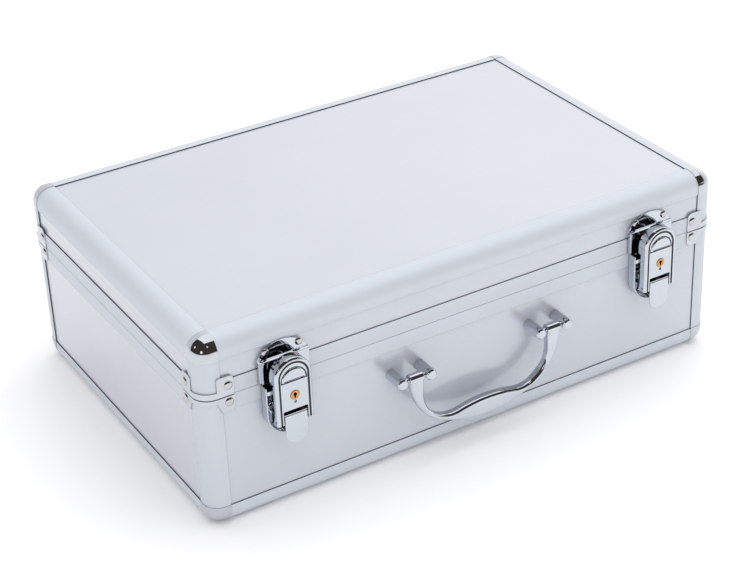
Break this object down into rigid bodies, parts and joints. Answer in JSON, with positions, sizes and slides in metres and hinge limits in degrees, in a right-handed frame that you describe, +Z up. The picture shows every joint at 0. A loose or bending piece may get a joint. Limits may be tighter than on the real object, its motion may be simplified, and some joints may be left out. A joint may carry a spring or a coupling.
{
  "type": "aluminium carrying case",
  "caption": "Rectangular hard carrying case with framed panels, hinged lid, front latches and a folding carrying handle.",
  "frame": {"origin": "under the middle of the whole object, on the plane the case's bottom rails rest on", "axes": "+X along the case's length, the latches and the handle face -Y, +Z up through the lid"},
  "size_m": [0.4596, 0.3204, 0.1563],
  "materials": {
    "silver_board": "satin silver laminate on board",
    "satin_aluminium": "satin anodised extrusion",
    "corner_chrome": "polished plating",
    "latch_chrome": "polished plating on pressed steel",
    "handle_chrome": "polished plating on a cast bar",
    "rivet_steel": "bright nickel",
    "hinge_steel": "nickel plated sheet",
    "zinc_steel": "zinc plated",
    "lock_brass": "turned brass",
    "lining": "black foam with a fleece face"
  },
  "bodies": {
    "base": {"base_ball_corners": "corner_chrome", "base_clamp_rivets": "rivet_steel", "base_corner_clamps": "corner_chrome", "base_corner_posts": "satin_aluminium", "base_floor_panel": "silver_board", "base_front_bottom_rail": "satin_aluminium", "base_front_panel": "silver_board", "base_front_rim_rail": "satin_aluminium", "base_left_bottom_rail": "satin_aluminium", "base_left_panel": "silver_board", "base_left_rim_rail": "satin_aluminium", "base_liner": "lining", "base_rear_bottom_rail": "satin_aluminium", "base_rear_panel": "silver_board", "base_rear_rim_rail": "satin_aluminium", "base_right_bottom_rail": "satin_aluminium", "base_right_panel": "silver_board", "base_right_rim_rail": "satin_aluminium", "handle_backing_plates": "zinc_steel", "handle_pivot_pins": "handle_chrome", "handle_posts": "handle_chrome", "handle_screws": "zinc_steel", "hinge_base_leaves": "hinge_steel", "hinge_base_rivets": "rivet_steel", "hinge_pins": "zinc_steel", "latch_base_plates": "latch_chrome", "latch_base_rivets": "rivet_steel", "latch_lever_pins": "latch_chrome"},
    "lid": {"hinge_lid_leaves": "hinge_steel", "hinge_lid_rivets": "rivet_steel", "latch_keeper_rivets": "rivet_steel", "latch_keepers": "latch_chrome", "lid_ball_corners": "corner_chrome", "lid_clamp_rivets": "rivet_steel", "lid_corner_clamps": "corner_chrome", "lid_corner_posts": "satin_aluminium", "lid_front_panel": "silver_board", "lid_front_rim_rail": "satin_aluminium", "lid_front_top_rail": "satin_aluminium", "lid_left_panel": "silver_board", "lid_left_rim_rail": "satin_aluminium", "lid_left_top_rail": "satin_aluminium", "lid_liner": "lining", "lid_rear_panel": "silver_board", "lid_rear_rim_rail": "satin_aluminium", "lid_rear_top_rail": "satin_aluminium", "lid_right_panel": "silver_board", "lid_right_rim_rail": "satin_aluminium", "lid_right_top_rail": "satin_aluminium", "lid_top_panel": "silver_board"},
    "handle": {"handle_bail": "handle_chrome"},
    "lever_left": {"latch_left_lever": "latch_chrome"},
    "cover_left": {"latch_left_cover": "latch_chrome", "latch_left_cover_pin": "latch_chrome"},
    "plug_left": {"latch_left_lock_plug": "lock_brass"},
    "lever_right": {"latch_right_lever": "latch_chrome"},
    "cover_right": {"latch_right_cover": "latch_chrome", "latch_right_cover_pin": "latch_chrome"},
    "plug_right": {"latch_right_lock_plug": "lock_brass"}
  },
  "joints": [
    {"name": "lid_hinge", "type": "hinge", "parent": "base", "child": "lid", "pos_m": [0, 0.1572, 0.1094], "axis": [-1, 0, 0], "range_deg": [0, 95]},
    {"name": "handle_swing", "type": "hinge", "parent": "base", "child": "handle", "pos_m": [0, -0.1555, 0.0775], "axis": [-1, 0, 0], "range_deg": [0, 180]},
    {"name": "latch_left_lever_swing", "type": "hinge", "parent": "base", "child": "lever_left", "pos_m": [-0.1623, -0.1502, 0.084], "axis": [-1, 0, 0], "range_deg": [0, 90]},
    {"name": "latch_left_cover_swing", "type": "hinge", "parent": "lever_left", "child": "cover_left", "pos_m": [-0.1623, -0.156, 0.08245], "axis": [1, 0, 0], "range_deg": [0, 117]},
    {"name": "latch_left_key_turn", "type": "hinge", "parent": "cover_left", "child": "plug_left", "pos_m": [-0.1623, -0.155, 0.1024], "axis": [0, 1, 0], "range_deg": [0, 90]},
    {"name": "latch_right_lever_swing", "type": "hinge", "parent": "base", "child": "lever_right", "pos_m": [0.1623, -0.1502, 0.084], "axis": [-1, 0, 0], "range_deg": [0, 90]},
    {"name": "latch_right_cover_swing", "type": "hinge", "parent": "lever_right", "child": "cover_right", "pos_m": [0.1623, -0.156, 0.08245], "axis": [1, 0, 0], "range_deg": [0, 117]},
    {"name": "latch_right_key_turn", "type": "hinge", "parent": "cover_right", "child": "plug_right", "pos_m": [0.1623, -0.155, 0.1024], "axis": [0, 1, 0], "range_deg": [0, 90]}
  ],
  "couplings": [
    {"joint": "latch_left_cover_swing", "follows": "latch_left_lever_swing", "ratio": 1.3},
    {"joint": "latch_right_cover_swing", "follows": "latch_right_lever_swing", "ratio": 1.3}
  ]
}
